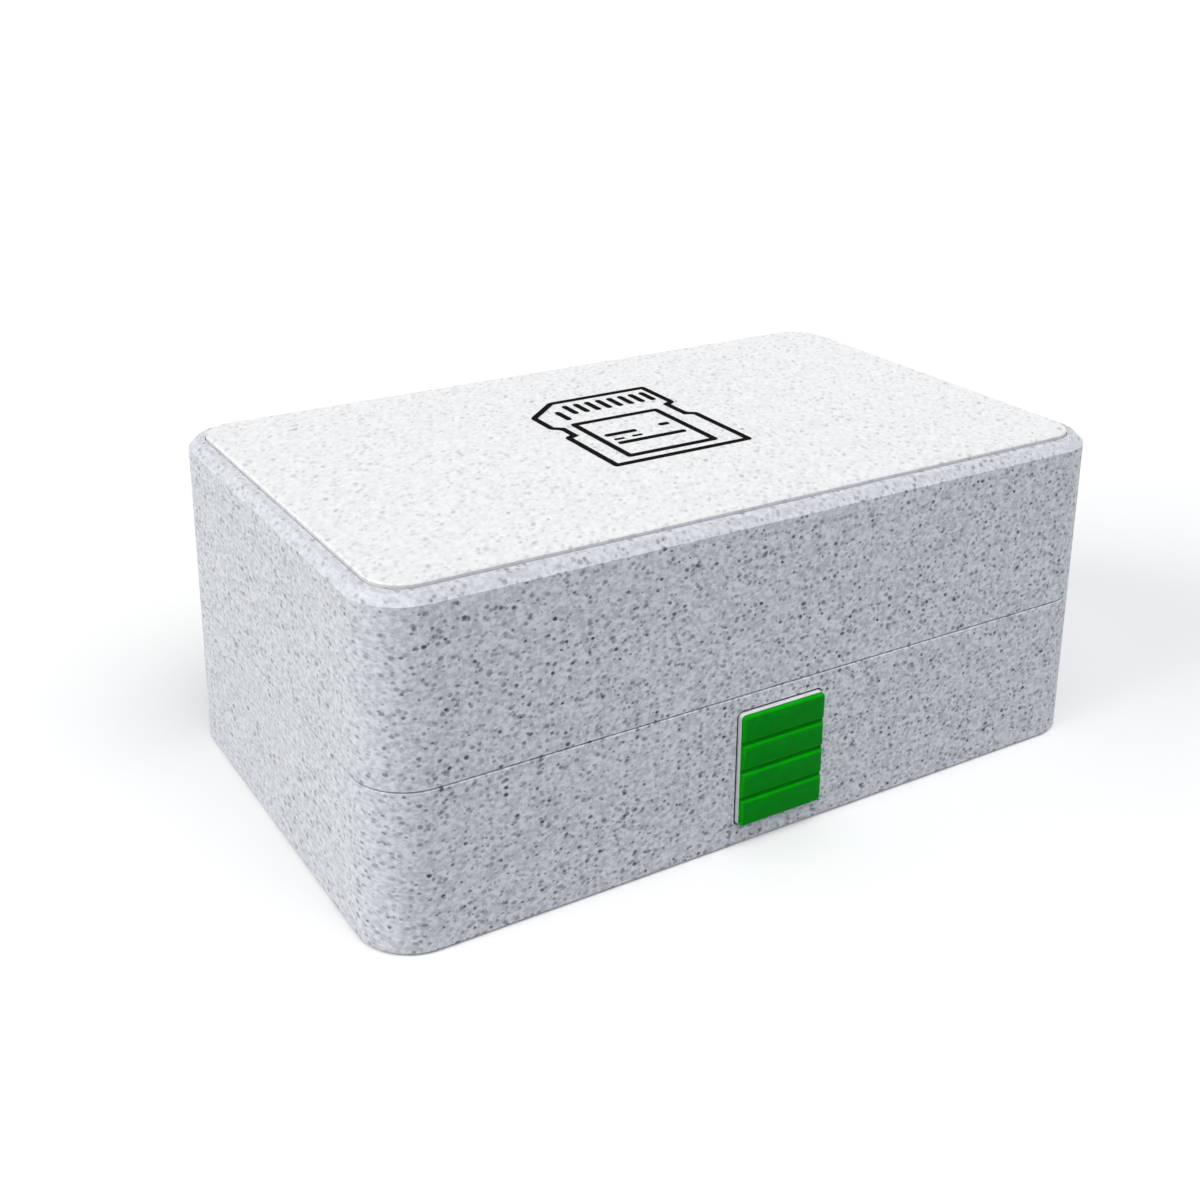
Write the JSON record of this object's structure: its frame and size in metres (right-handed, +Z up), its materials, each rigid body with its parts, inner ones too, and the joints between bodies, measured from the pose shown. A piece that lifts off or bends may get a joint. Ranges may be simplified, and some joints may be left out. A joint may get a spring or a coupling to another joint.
{
  "type": "memory card case",
  "caption": "Rounded rectangular hard case with a hinged lid, a sprung push-button latch and slotted racks inside for standing memory cards.",
  "frame": {"origin": "middle of the underside of the base, on the table", "axes": "+X to the right along the length seen from the button side, +Y to the back where the hinge is, +Z up"},
  "size_m": [0.102, 0.063, 0.042],
  "materials": {
    "shell": "matte pale grey with dark speckles",
    "top_panel": "matte pale grey with dark speckles",
    "button_body": "matte pale grey",
    "button_green": "matte green",
    "latch_parts": "matte grey",
    "tray": "matte pale grey with dark speckles",
    "rack": "matte near black",
    "steel": "drawn steel"
  },
  "bodies": {
    "base": {"base_shell": "shell", "hinge_pin_left": "steel", "hinge_pin_right": "steel", "latch_bracket": "latch_parts", "button_spring": "steel", "card_tray": "tray", "sd_rack_left": "rack", "sd_rack_middle": "rack", "sd_rack_right": "rack", "microsd_rack": "rack"},
    "lid": {"lid_shell": "shell", "lid_top_panel": "top_panel", "lid_catch": "latch_parts"},
    "button": {"latch_button": "button_body", "button_face": "button_green"}
  },
  "joints": [
    {"name": "lid_hinge", "type": "hinge", "parent": "base", "child": "lid", "pos_m": [0, 0.0285, 0.01968], "axis": [-1, 0, 0], "range_deg": [0, 95], "deforming": ["lid_catch"]},
    {"name": "button_press", "type": "slide", "parent": "base", "child": "button", "axis": [0, 1, 0], "range_m": [0, 0.0018], "stiffness_N_per_m": 400, "springref_m": -0.001, "deforming": ["button_spring"]}
  ]
}
